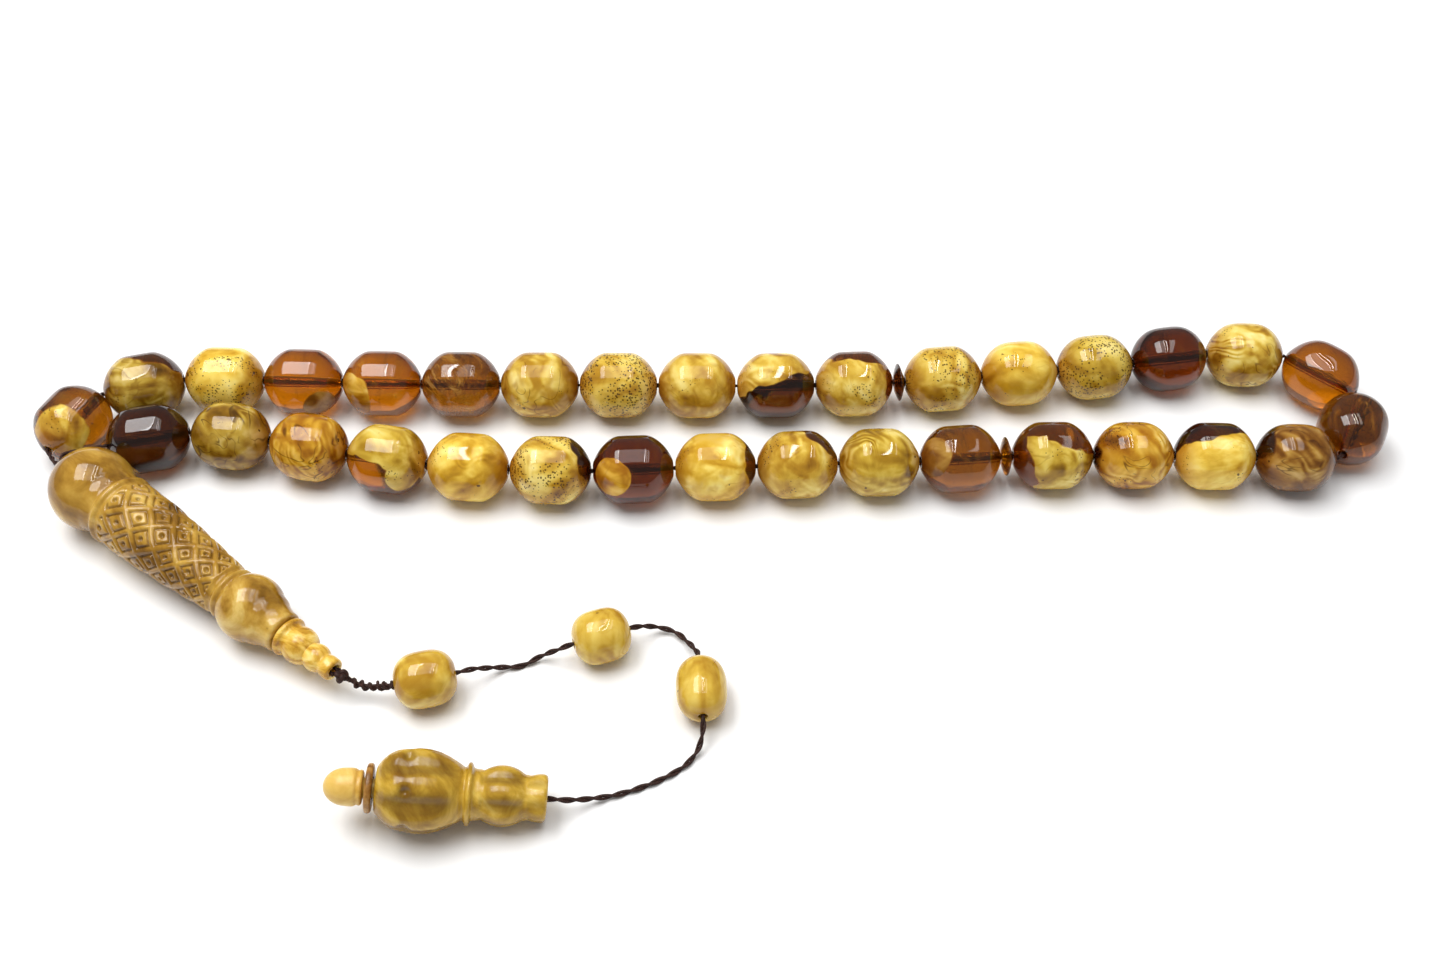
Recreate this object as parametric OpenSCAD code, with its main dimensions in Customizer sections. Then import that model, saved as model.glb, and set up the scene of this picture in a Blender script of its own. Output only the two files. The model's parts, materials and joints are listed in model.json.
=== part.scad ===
// Misbaha prayer beads: 33 drilled barrel beads in three runs of eleven, two thin counting
// discs between the runs, a carved leader bead (the imame) that takes both ends of the
// string, and a twisted tail cord with three small beads and a turned pendant.
// Millimetres. The beads lie on the plane z = 0 and the string lies along X.

/* [Prayer beads] */
// Diameter of a prayer bead
bead_d = 10; // [9.6:0.1:10.4]
// Length of a prayer bead along its bore
bead_l = 11.8; // [11.4:0.1:12]
// Length of the straight band round the middle of a prayer bead
bead_band = 3; // [1:0.5:5]
// Bore of the beads and of the discs
bore_d = 1.1; // [1:0.05:1.3]
// Gap between neighbours on the string
string_gap = 0.2; // [0.15:0.05:0.3]

/* [Counting discs] */
// Diameter of a disc
disc_d = 5.8; // [4:0.2:8]
// Thickness of a disc at its bore
disc_t = 1.5; // [1:0.1:2]

/* [Cords] */
// Thickness of the loop cord
loop_cord_d = 0.65; // [0.5:0.05:0.7]
// Thickness of the twisted tail cord
tail_cord_d = 0.7; // [0.5:0.05:0.75]

/* [Imame] */
// Diameter of the rounded head
head_d = 12.2; // [12:0.1:12.4]
// Diameter of the carved body beside the head
body_d = 10.6; // [9.6:0.1:10.8]
// Diameter of the carved body at its thin end
body_end_d = 7.4; // [6.8:0.1:8]
// Diameter of the bulb below the carved body
bulb_d = 9.5; // [9:0.1:9.6]
// Bore for the two strands of the string
imame_bore_d = 1.9; // [1.8:0.05:2]

/* [Pendant] */
// Diameter of the large ball
pendant_ball_d = 10.8; // [10.4:0.1:11]
// Diameter of the small ball
pendant_neck_ball_d = 7.9; // [7:0.1:8]
// Diameter of the plug
plug_d = 4.7; // [4:0.1:5]
// Diameter of the washer
washer_d = 6.2; // [5:0.1:7]

/* [Hidden] */
$fn = 48;
bead_count = 33;
run = 11;                 // beads in a run
tail_bead_band = 0.6;     // straight band round a tail bead
tail_bore_d = 1.2;        // bore of the tail beads and the pendant
shoulder_steps = 8;       // bands on each rounded shoulder
fit_gap = 0.3;            // clearance between pieces that turn or slide in each other
strand_offset = 0.42;     // half the distance between the two strands inside the imame
cord_sides = 8;

function bead_name(k) = str("bead_", k < 10 ? "0" : "", k);

// Resin colours: opaque yellow unless the bead is on one of these lists.
clear_amber_beads = [4, 5, 6, 10, 15, 17, 18, 23, 27, 33];
olive_beads = [1, 2, 19, 22, 24, 32];
function bead_color(k) =
  len(search(k, clear_amber_beads)) > 0 ? "saddlebrown" :
  len(search(k, olive_beads)) > 0 ? "darkkhaki" : "goldenrod";

// ---- the string: every bead and disc is a link with a heading in the plane ----

// Start of the string, where the first bead's bore begins.
string_start = [-98, 16];
// Heading of each link along the string, in degrees from +X, discs included.
headings = [
  67, 16, 0, -1, 0, 1, 1, 1, 1, 2, 4,
  7,
  7, 7, 9, 11, 0, -41, -117, -180, -180, -179, -178,
  -175,
  -174, -177, -176, -177, -176, -180, -183, -189, -191, -187, -166
];
links = len(headings);
function is_disc(i) = i == run || i == 2 * run + 1;
function link_of_bead(k) = k - 1 + floor((k - 1) / run);
function link_of_disc(k) = k * (run + 1) - 1;

// A rounded shoulder falls from the band to a small flat end: u is 0 at the band, near 1 at the end.
shoulder_power = 0.7;
prayer_bead_end = 0.967;
tail_bead_end = 0.93;
function barrel_half(d, l, band, end) = [
  for (i = [0:shoulder_steps])
    let (a = 90 * i / shoulder_steps, u = end * sin(a))
    [(band + (l - band) * sin(a)) / 2, d / 2 * pow(1 - u * u, shoulder_power)]
];
prayer_bead_half = barrel_half(bead_d, bead_l, bead_band, prayer_bead_end);
function disc_half() = [[0.1, disc_d / 2], [0.35, disc_d * 0.38], [disc_t / 2, disc_d * 0.2]];
function outline_of(i) = is_disc(i) ? disc_half() : prayer_bead_half;

// Two links touch on the plane that halves their turn, so a turn pushes them apart:
// this is how far along its bore a link reaches to that plane.
function reach(i, turn) =
  let (h = abs(turn) / 2)
  max([for (p = outline_of(i)) p[0] * cos(h) + p[1] * sin(h)]) / cos(h) + string_gap / 2;
function turn_before(i) = i == 0 ? 0 : headings[i] - headings[i - 1];
function turn_after(i) = i == links - 1 ? 0 : headings[i + 1] - headings[i];
function along(i) = [cos(headings[i]), sin(headings[i])];
// Corners of the string: corners[i] is where link i begins.
corners = [
  for (i = 0, p = string_start; i <= links;
       p = i < links ? p + (reach(i, turn_before(i)) + reach(i, turn_after(i))) * along(i) : p,
       i = i + 1) p
];
function link_centre(i) = corners[i] + reach(i, turn_before(i)) * along(i);

// ---- where the loose pieces lie: [centre, heading, tilt down along the heading] ----

imame_at = [[-88.7, 7.8, head_d / 2], -36.5, 2.3];
tail_beads = [
  [[-37.6, -21.9, 3.85], 15, 7.7, 8.2],
  [[-14.8, -14.4, 3.7], 20, 7.4, 7.8],
  [[-1.1, -22.3, 3.4], -86, 6.8, 8.8]
];
pendant_at = [[-35.9, -39.4, pendant_ball_d / 2], 1.5, 7.7];

// A point s along a piece's axis, moved sideways by side.
function on_axis(at, s, side = 0) =
  at[0] + s * [cos(at[1]) * cos(at[2]), sin(at[1]) * cos(at[2]), -sin(at[2])]
        + side * [-sin(at[1]), cos(at[1]), 0];

// Stations along the imame's axis, from the centre of its head.
head_pole = -6;
ring_at = 6.1;
body_end_at = 28.2;
bulb_at = 32.6;
lip_at = 39.2;
tip_start = lip_at + fit_gap;
tip_ball_at = 42.2;
tip_small_ball_at = 45.3;
tip_end = 48.6;
tip_bore_d = 1.7;
spigot_l = 3;
spigot_d = 3;
tip_knot_d = 2;
tip_knot_at = tip_end + 0.25 + tip_knot_d / 2;

// Stations along the pendant's axis, from the centre of its large ball.
plug_tip = -11.2;
washer_from = -6;
washer_to = -5.1;
socket_from = -4.8;
socket_to = 2.6;
socket_d = 3;
plug_stem_d = socket_d - 2 * fit_gap;
bell_end = 16.4;
pendant_knot_at = 1.5;

// ---- cord routes ----

// From the imame's head round to the first bead, and from the last bead back to the imame.
lead_out = [[-95.3, 12.5, 6], [-96.4, 13.8, 5.6], [-97.3, 15.1, 5.2]];
lead_back = [[-91.5, 16.2, 5.2], [-93.5, 15.3, 5.6], [-94.4, 14.8, 5.9],
             [-94.8, 14, 6.1], [-94.7, 13.1, 6.3]];
// The free stretches of the tail: tip to bead, bead to bead, and bead to pendant.
tail_from_tip = [[-47.7, -21.8, 3.3], [-46.5, -22.1, 2.6], [-45, -22.3, 2.5], [-43.4, -22.5, 3]];
tail_1_to_2 = [[-32, -20, 3.4], [-30, -18.7, 1.9], [-28, -17.8, 0.8], [-25.5, -17.2, 0.4],
               [-23, -16, 1], [-20.5, -16, 2.7]];
tail_2_to_3 = [[-9.5, -12.1, 2.8], [-7.5, -11.1, 1.3], [-5, -11.5, 0.8], [-3, -13.7, 1.4],
               [-1.8, -16, 2.6]];
tail_to_pendant = [[-0.8, -28.3, 2.6], [-1.4, -30.2, 1], [-3, -32.2, 0.4], [-5.5, -34, 0.4],
                   [-8.5, -35.5, 0.4], [-12, -36.8, 0.5], [-15, -37.8, 1.3], [-17.5, -38.7, 2.5]];

function lift(p) = [p[0], p[1], bead_d / 2];
// A sharp corner of the string is rounded off with two points, a gentle one keeps its own.
sharp_turn = 20;
function corner_points(i) =
  let (turn = i == 0 || i == links ? 0 : headings[i] - headings[i - 1])
  abs(turn) < sharp_turn ? [lift(corners[i])] :
  let (cut = reach(i, turn) - outline_of(i)[shoulder_steps][0] - string_gap / 4)
  [lift(corners[i] - cut * along(i - 1)), lift(corners[i] + cut * along(i))];
loop_route = concat(
  [for (s = [tip_knot_at - 0.8, 20, head_pole]) on_axis(imame_at, s, -strand_offset)],
  lead_out,
  [for (i = [0:links]) each corner_points(i)],
  lead_back,
  [for (s = [head_pole, 20, tip_knot_at - 0.8]) on_axis(imame_at, s, strand_offset)]
);
function bore_ends(b) = [for (side = [-0.5, 0.5]) on_axis([b[0], b[1], 0], side * b[3])];
tail_route = concat(
  [on_axis(imame_at, tip_knot_at)],
  tail_from_tip, bore_ends(tail_beads[0]),
  tail_1_to_2, bore_ends(tail_beads[1]),
  tail_2_to_3, bore_ends(tail_beads[2]),
  tail_to_pendant,
  [on_axis(pendant_at, bell_end), on_axis(pendant_at, pendant_knot_at)]
);

function unit(v) = v / norm(v);
function direction(p, i) = unit(p[min(i + 1, len(p) - 1)] - p[max(i - 1, 0)]);
function ring(p, i, r) =
  let (t = direction(p, i), s = unit(cross(t, [0, 0, 1])), u = cross(s, t))
  [for (k = [0:cord_sides - 1])
    p[i] + r * (cos(360 * k / cord_sides) * s + sin(360 * k / cord_sides) * u)];

// A tube of diameter d swept along the points of a route.
module tube(route, d) {
  n = len(route);
  m = cord_sides;
  polyhedron(
    points = [for (i = [0:n - 1]) each ring(route, i, d / 2)],
    faces = concat(
      [[for (k = [0:m - 1]) m - 1 - k]],
      [for (i = [0:n - 2]) for (k = [0:m - 1])
        [i * m + k, i * m + (k + 1) % m, (i + 1) * m + (k + 1) % m, (i + 1) * m + k]],
      [[for (k = [0:m - 1]) (n - 1) * m + k]]
    )
  );
}

// ---- turned pieces: an outline of [station, radius] points revolved about the bore ----

module turned(outline, bore) {
  last = len(outline) - 1;
  rotate_extrude()
    polygon(concat(
      [[bore / 2, outline[0][0]]],
      [for (p = outline) [p[1], p[0]]],
      [[bore / 2, outline[last][0]]]
    ));
}
module place(at) {
  translate(at[0]) rotate([0, 0, at[1]]) rotate([0, 90 + at[2], 0]) children();
}
module on_string(i) {
  place([lift(link_centre(i)), headings[i], 0]) children();
}
function mirrored(half) = concat(
  [for (i = [len(half) - 1:-1:0]) [-half[i][0], half[i][1]]],
  half
);
// Points of an arc of radius r about station c, from angle a to angle b off the axis.
function arc(c, r, a, b, steps = 6) = [
  for (i = [0:steps]) let (t = a + (b - a) * i / steps) [c - r * cos(t), r * sin(t)]
];

module bead(k) {
  color(bead_color(k)) on_string(link_of_bead(k))
    turned(mirrored(prayer_bead_half), bore_d);
}
module disc(k) {
  color("sienna") on_string(link_of_disc(k)) turned(mirrored(disc_half()), bore_d);
}
module tail_bead(k) {
  b = tail_beads[k - 1];
  color("goldenrod") place([b[0], b[1], 0])
    turned(mirrored(barrel_half(b[2], b[3], tail_bead_band, tail_bead_end)), tail_bore_d);
}

module imame() {
  head_r = head_d / 2;
  body_r = body_d / 2;
  thin_r = body_end_d / 2;
  bulb_r = bulb_d / 2;
  outline = concat(
    arc(0, head_r, 12, 120, 9),
    [[4.6, 4.85], [5.3, 4.7]],
    [[5.5, body_r - 0.1], [ring_at, body_r], [ring_at + 0.4, body_r - 0.2]],
    [[12, body_r - 0.2], [20, (body_r + thin_r) / 2], [body_end_at - 0.6, thin_r]],
    [[body_end_at, thin_r - 0.4], [body_end_at + 0.5, thin_r + 0.1]],
    [[body_end_at + 1.2, thin_r - 0.3]],
    arc(bulb_at, bulb_r, 50, 130, 6),
    [[37, 3.25], [38.2, 2.95], [lip_at - 0.3, 2.95], [lip_at, 2.6]]
  );
  color("darkgoldenrod") place(imame_at) difference() {
    turned(outline, imame_bore_d);
    translate([0, 0, lip_at - spigot_l - fit_gap])
      cylinder(h = spigot_l + 1, d = spigot_d + 2 * fit_gap);
  }
}
module imame_tip() {
  outline = concat(
    [[tip_start - spigot_l, spigot_d / 2], [tip_start, spigot_d / 2]],
    [[tip_start, 2.6], [tip_start + 0.2, 2.85], [tip_start + 0.6, 2.85], [tip_start + 0.9, 2.4]],
    arc(tip_ball_at, 2.6, 65, 140, 5),
    arc(tip_small_ball_at, 1.95, 55, 135, 4),
    [[46.9, 1.6], [tip_end - 0.2, 1.6], [tip_end, 1.4]]
  );
  color("khaki") place(imame_at) turned(outline, tip_bore_d);
}

module pendant_body() {
  ball_r = pendant_ball_d / 2;
  small_r = pendant_neck_ball_d / 2;
  outline = concat(
    [[socket_from, 2.5], [socket_from + 0.5, 2.9]],
    arc(0, ball_r, 38, 90, 5),
    [[2.4, 5.1], [4.2, 4.3], [5.6, 3.4]],
    [[6.1, 3.3], [6.4, 4], [6.9, 4], [7.2, 3.3], [7.9, 3.3]],
    arc(10.8, small_r, 57, 125, 6),
    [[14, 2.9], [14.8, 3.1], [bell_end - 0.4, 3.1], [bell_end, 2.7]]
  );
  color("darkgoldenrod") place(pendant_at) difference() {
    turned(outline, tail_bore_d);
    translate([0, 0, socket_from - 1]) cylinder(h = socket_to - socket_from + 1, d = socket_d);
  }
}
module pendant_washer() {
  color("sienna") place(pendant_at) turned(
    [[washer_from, washer_d / 2 - 0.2], [washer_from + 0.2, washer_d / 2],
     [washer_to - 0.2, washer_d / 2], [washer_to, washer_d / 2 - 0.2]],
    plug_stem_d + 2 * fit_gap
  );
}
module pendant_plug() {
  head_end = washer_from - fit_gap;
  stem_end = -2.4;
  color("khaki") place(pendant_at) rotate_extrude()
    polygon(concat(
      [[0, plug_tip]],
      [for (i = [1:5]) let (t = 18 * i) [plug_d / 2 * sin(t), plug_tip + 2.8 * (1 - cos(t))]],
      [[plug_d / 2, head_end - 0.9], [plug_d / 2 - 0.25, head_end - 0.7]],
      [[plug_d / 2 - 0.1, head_end - 0.4], [plug_d / 2 - 0.3, head_end]],
      [[plug_stem_d / 2, head_end], [plug_stem_d / 2, stem_end], [0, stem_end]]
    ));
}

module loop_cord() {
  color("black") tube(loop_route, loop_cord_d);
}
module tail_cord() {
  color("black") tube(tail_route, tail_cord_d);
}
module tip_knot() {
  color("black") translate(on_axis(imame_at, tip_knot_at)) sphere(d = tip_knot_d);
}
module pendant_knot() {
  color("black") translate(on_axis(pendant_at, pendant_knot_at)) sphere(d = tip_knot_d);
}

for (k = [1:bead_count]) bead(k);
disc(1);  // disc_1
disc(2);  // disc_2
imame();
imame_tip();
tail_bead(1);  // tail_bead_1
tail_bead(2);  // tail_bead_2
tail_bead(3);  // tail_bead_3
pendant_body();
pendant_washer();
pendant_plug();
loop_cord();
tail_cord();
tip_knot();
pendant_knot();
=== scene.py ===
"""Looks of the prayer beads: resin beads, carved imame, turned pendant and twisted cords."""

import json
import math
import random

import bpy
import numpy as np
from mathutils import Matrix, Vector


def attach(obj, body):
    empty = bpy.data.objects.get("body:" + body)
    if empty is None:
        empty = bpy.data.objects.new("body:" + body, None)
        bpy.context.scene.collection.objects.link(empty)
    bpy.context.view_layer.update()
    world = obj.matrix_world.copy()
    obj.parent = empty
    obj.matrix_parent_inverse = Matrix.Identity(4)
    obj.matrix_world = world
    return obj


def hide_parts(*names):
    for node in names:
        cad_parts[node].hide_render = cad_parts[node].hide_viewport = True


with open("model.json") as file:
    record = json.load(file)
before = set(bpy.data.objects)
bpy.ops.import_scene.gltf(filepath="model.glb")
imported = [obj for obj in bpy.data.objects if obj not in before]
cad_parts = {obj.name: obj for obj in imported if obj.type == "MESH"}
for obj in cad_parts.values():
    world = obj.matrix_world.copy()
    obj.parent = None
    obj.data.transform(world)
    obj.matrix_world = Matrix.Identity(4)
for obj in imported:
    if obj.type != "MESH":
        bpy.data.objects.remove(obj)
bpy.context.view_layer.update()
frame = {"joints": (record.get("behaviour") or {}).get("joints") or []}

MM = 0.001
JOINTS = {joint["child"]: joint for joint in frame["joints"]}


# ---- camera, light and floor --------------------------------------------------------------

LOOK_DOWN = 49.6  # degrees below the horizon that the camera looks
ROLL = 1.0
FOCAL_MM = 39.86
SENSOR_MM = 36
CAMERA_AT = (1.2, -138.4, 182.03)  # mm


def make_camera():
    e, r = math.radians(LOOK_DOWN), math.radians(ROLL)
    across, up = Vector((1, 0, 0)), Vector((0, math.sin(e), math.cos(e)))
    forward = Vector((0, math.cos(e), -math.sin(e)))
    right = math.cos(r) * across + math.sin(r) * up
    top = math.cos(r) * up - math.sin(r) * across
    x, y, z = (MM * value for value in CAMERA_AT)
    data = bpy.data.cameras.new("camera")
    data.lens, data.sensor_width = FOCAL_MM, SENSOR_MM
    data.clip_start, data.clip_end = 0.01, 20
    camera = bpy.data.objects.new("camera", data)
    camera.matrix_world = Matrix((
        (right.x, top.x, -forward.x, x),
        (right.y, top.y, -forward.y, y),
        (right.z, top.z, -forward.z, z),
        (0, 0, 0, 1),
    ))
    bpy.context.collection.objects.link(camera)
    bpy.context.scene.camera = camera


WORLD_LIGHT = 0.27
PANEL_Y = 0.10
PANEL_Z = 0.6
PANEL_DEPTH = 0.52
# Overhead panels: name, left and right edge in m, and how bright each looks beside the world.
PANELS = [
    ("left_panel", (-0.42, -0.16), 7.5),
    ("left_strip", (-0.158, -0.144), 22.0),
    ("middle_panel", (-0.13, 0.03), 2.2),
    ("near_strip", (0.042, 0.055), 24.0),
    ("right_strip", (0.118, 0.131), 24.0),
    ("right_panel", (0.2, 0.28), 3.5),
]


def add_panel(name, place, size, power):
    """A level panel that shines straight down."""
    data = bpy.data.lights.new(name, "AREA")
    data.shape, data.size, data.size_y, data.energy = "RECTANGLE", size[0], size[1], power
    lamp = bpy.data.objects.new(name, data)
    lamp.location = place
    bpy.context.collection.objects.link(lamp)


def make_lights():
    world = bpy.data.worlds.new("studio")
    bpy.context.scene.world = world
    world.use_nodes = True
    background = world.node_tree.nodes["Background"]
    background.inputs["Color"].default_value = (1, 1, 1, 1)
    background.inputs["Strength"].default_value = WORLD_LIGHT
    for name, (left, right), light in PANELS:
        width = right - left
        power = light * math.pi * width * PANEL_DEPTH
        add_panel(name, ((left + right) / 2, PANEL_Y, PANEL_Z), (width, PANEL_DEPTH), power)
    bpy.context.scene.view_settings.view_transform = "Standard"


FLOOR_HALF = 3  # m
FLOOR_DROP = 0.02 * MM  # keeps the floor's face apart from what lies on it
PAPER = (0.93, 0.93, 0.93, 1)


def make_floor():
    mesh = bpy.data.meshes.new("floor")
    corners = [(x * FLOOR_HALF, y * FLOOR_HALF, 0) for x, y in ((-1, -1), (1, -1), (1, 1), (-1, 1))]
    mesh.from_pydata(corners, [], [(0, 1, 2, 3)])
    floor = bpy.data.objects.new("floor", mesh)
    floor.location.z = -FLOOR_DROP
    bpy.context.collection.objects.link(floor)
    material = bpy.data.materials.new("floor_paper")
    material.use_nodes = True
    shader = material.node_tree.nodes["Principled BSDF"]
    shader.inputs["Base Color"].default_value = PAPER
    shader.inputs["Roughness"].default_value = 0.6
    shader.inputs["Specular IOR Level"].default_value = 0.2
    mesh.materials.append(material)


# ---- meshes -------------------------------------------------------------------------------

def add_mesh(name, points, faces, material, origin=(0, 0, 0)):
    """A smooth mesh from points in metres, with its object at origin."""
    mesh = bpy.data.meshes.new(name)
    origin = np.array(origin, float)
    mesh.from_pydata((np.asarray(points, float) - origin).tolist(), [], faces)
    mesh.polygons.foreach_set("use_smooth", [True] * len(mesh.polygons))
    mesh.materials.append(material)
    piece = bpy.data.objects.new(name, mesh)
    piece.location = origin
    bpy.context.collection.objects.link(piece)
    return piece


def ring_faces(rings, sides, closed=False):
    """Quads between neighbouring rings, and from the last to the first if closed."""
    faces = []
    for i in range(rings if closed else rings - 1):
        j = (i + 1) % rings
        for k in range(sides):
            m = (k + 1) % sides
            faces.append((i * sides + k, i * sides + m, j * sides + m, j * sides + k))
    return faces


def resample(points, step):
    """Points every step along a polyline."""
    points = np.asarray(points, float)
    along = np.concatenate([[0], np.cumsum(np.linalg.norm(np.diff(points, axis=0), axis=1))])
    wanted = np.linspace(0, along[-1], max(2, int(round(along[-1] / step)) + 1))
    return np.stack([np.interp(wanted, along, points[:, c]) for c in range(points.shape[1])], axis=1)


def soften(points, passes):
    """Rounds the corners of a resampled polyline and keeps its ends."""
    points = np.array(points, float)
    for _ in range(passes):
        points[1:-1] = 0.25 * points[:-2] + 0.5 * points[1:-1] + 0.25 * points[2:]
    return points


def spline(points, step):
    """A Catmull-Rom curve through the points, resampled every step."""
    p = np.asarray(points, float)
    p = np.vstack([2 * p[0] - p[1], p, 2 * p[-1] - p[-2]])
    t = np.linspace(0, 1, 24, endpoint=False)[:, None]
    dense = []
    for a, b, c, d in zip(p, p[1:], p[2:], p[3:]):
        # centripetal tangents keep the curve from swinging out where points are unevenly spaced
        ab, bc, cd = (max(math.sqrt(np.linalg.norm(v)), 1e-9) for v in (b - a, c - b, d - c))
        start = (b - a) / ab - (c - a) / (ab + bc) + (c - b) / bc
        end = (c - b) / bc - (d - b) / (bc + cd) + (d - c) / cd
        m0, m1 = start * bc, end * bc
        dense.append((2 * t**3 - 3 * t**2 + 1) * b + (t**3 - 2 * t**2 + t) * m0
                     + (3 * t**2 - 2 * t**3) * c + (t**3 - t**2) * m1)
    return resample(np.vstack(dense + [p[-2][None]]), step)


def axes_of(direction):
    """Unit vectors along a piece, to its side and up from it."""
    along = Vector(direction).normalized()
    side = Vector((0, 0, 1)).cross(along).normalized()
    return [np.array(v) for v in (along, side, along.cross(side))]


def lathe(name, centre, direction, outline, material, sides=72, relief=None):
    """Revolves a closed outline of (station, radius) in mm about a line.
    relief(station, radius, angle) is added to the radius."""
    along, side, up = axes_of(direction)
    angle = np.linspace(0, 2 * math.pi, sides, endpoint=False)
    station = np.repeat(outline[:, 0], sides)
    radius = np.repeat(outline[:, 1], sides)
    turn = np.tile(angle, len(outline))
    if relief:
        radius = radius + relief(station, radius, turn)
    centre = np.array(centre, float)
    points = centre + MM * (station[:, None] * along + (radius * np.cos(turn))[:, None] * side
                            + (radius * np.sin(turn))[:, None] * up)
    return add_mesh(name, points, ring_faces(len(outline), sides, closed=True), material, centre)


def arc(centre, radius, start, end, steps=14):
    """Points of an arc about a station on the axis, from one angle off the axis to another."""
    angles = np.radians(np.linspace(start, end, steps + 1))
    return [(centre - radius * math.cos(a), radius * math.sin(a)) for a in angles]


def turned_outline(points, bore, step=0.2, passes=3, inside=0.5):
    """An outline with softened edges that starts and ends a little inside the bore."""
    first, last = points[0][0], points[-1][0]
    full = [(first + inside, bore), (first, bore), *points, (last, bore), (last - inside, bore)]
    return soften(resample(full, step), passes)


# ---- materials ----------------------------------------------------------------------------

STREAK_TILT = (0.3, 0.5)  # radians about right and up, so that streaks don't lie in the face plane


class Shader:
    """A material's node tree, with short calls for the nodes that the resins share."""

    def __init__(self, name):
        self.material = bpy.data.materials.new(name)
        self.material.use_nodes = True
        self.tree = self.material.node_tree
        self.surface = self.tree.nodes["Principled BSDF"]

    def node(self, kind, inputs=(), **settings):
        made = self.tree.nodes.new(kind)
        for key, value in settings.items():
            setattr(made, key, value)
        for key, value in dict(inputs).items():
            if isinstance(value, bpy.types.NodeSocket):
                self.tree.links.new(value, made.inputs[key])
            else:
                made.inputs[key].default_value = value
        return made

    def math(self, operation, a, b=0.0, c=0.0, clamp=False):
        made = self.node("ShaderNodeMath", {0: a, 1: b, 2: c}, operation=operation, use_clamp=clamp)
        return made.outputs[0]

    def step(self, value, low, high):
        """0 below low, 1 above high, smooth between."""
        made = self.node("ShaderNodeMapRange", {"Value": value, "From Min": low, "From Max": high})
        made.interpolation_type = "SMOOTHSTEP"
        return made.outputs["Result"]

    def noise(self, at, scale, detail=3.0, distortion=0.0, roughness=0.5, seed=0.0):
        made = self.node("ShaderNodeTexNoise", {
            "Vector": at, "W": seed, "Scale": scale, "Detail": detail,
            "Distortion": distortion, "Roughness": roughness}, noise_dimensions="4D")
        return made.outputs["Fac"]

    def dot(self, at, direction):
        made = self.node("ShaderNodeVectorMath", {0: at, 1: direction}, operation="DOT_PRODUCT")
        return made.outputs["Value"]

    def stretched(self, at, scale, turn):
        """Coordinates that make a noise into streaks at that angle in the face plane."""
        rotation = (*STREAK_TILT, math.radians(turn))
        turned = self.node("ShaderNodeMapping", {"Vector": at, "Rotation": rotation})
        scaled = self.node("ShaderNodeMapping", {"Vector": turned.outputs[0], "Scale": scale})
        return scaled.outputs[0]

    def ramp(self, value, stops):
        made = self.node("ShaderNodeValToRGB", {"Fac": value})
        ramp = made.color_ramp
        while len(ramp.elements) < len(stops):
            ramp.elements.new(0.5)
        for element, (place, colour) in zip(ramp.elements, stops):
            element.position = place
            element.color = (*linear(colour), 1)
        return made.outputs["Color"]

    def mix(self, share, a, b, blend="MIX"):
        made = self.node("ShaderNodeMix", data_type="RGBA", blend_type=blend)
        for socket, value in ((made.inputs["Factor"], share), (made.inputs[6], a), (made.inputs[7], b)):
            if isinstance(value, bpy.types.NodeSocket):
                self.tree.links.new(value, socket)
            elif socket == made.inputs["Factor"]:
                socket.default_value = value
            else:
                socket.default_value = (*linear(value), 1)
        return made.outputs[2]

    def set(self, **inputs):
        """Links or sets sockets of the surface, named with _ for a space."""
        for key, value in inputs.items():
            socket = self.surface.inputs[key.replace("_", " ")]
            if isinstance(value, bpy.types.NodeSocket):
                self.tree.links.new(value, socket)
            else:
                socket.default_value = value


def linear(colour):
    """Display colour of 0 to 255 as linear light."""
    values = [c / 255 for c in colour]
    return [v / 12.92 if v <= 0.04045 else ((v + 0.055) / 1.055) ** 2.4 for v in values]


def face_coordinates(s):
    """Coordinates in mm about the piece's centre: right, up and towards the usual viewer."""
    at = s.node("ShaderNodeTexCoord").outputs["Object"]
    made = s.node("ShaderNodeMapping", {
        "Vector": at, "Rotation": (math.radians(LOOK_DOWN - 90), 0, 0), "Scale": (1 / MM,) * 3})
    return made.outputs[0]


def face_direction(direction):
    """A direction of the frame in face coordinates."""
    x, y, z = direction
    a = math.radians(LOOK_DOWN - 90)
    return x, y * math.cos(a) - z * math.sin(a), y * math.sin(a) + z * math.cos(a)


# Opaque resin from its darkest streaks to its palest, and clear resin, by name.
OPAQUE = {
    "yellow": [(112, 66, 6), (178, 132, 34), (212, 174, 64), (234, 206, 104), (250, 234, 158)],
    "bright": [(140, 88, 8), (202, 154, 38), (230, 190, 70), (246, 216, 104), (254, 238, 156)],
    "olive": [(70, 42, 4), (128, 90, 16), (158, 122, 34), (186, 154, 60), (214, 188, 108)],
    "green": [(94, 60, 8), (162, 122, 26), (196, 160, 52), (222, 194, 90), (242, 222, 142)],
    "orange": [(86, 44, 4), (162, 104, 16), (196, 144, 36), (222, 176, 66), (242, 212, 122)],
    "tan": [(62, 30, 6), (112, 68, 16), (144, 98, 34), (174, 132, 58), (204, 168, 100)],
}
CLEAR = {
    "amber": (188, 108, 8),
    "brown": (156, 90, 8),
    "red": (108, 42, 4),
    "dark": (88, 38, 6),
}
FLECK = (52, 28, 10)
END_SHADE_TINT = (190, 134, 60)  # painted shade: darkens the resin towards the ends of the bore
SPOT = (80, 48, 18)
# painted shade laid into the carved cuts, darker where they are deeper
CUT_SHADE = (82, 50, 8)
RESIN_IOR = 1.54
SKIN = 0.8 * MM  # depth that light scatters in opaque resin
RIPPLE = 0.02 * MM  # height of the unevenness left by polishing
LAYERS = 9  # bands of resin between the lowest and highest value of the field that lays them


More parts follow.
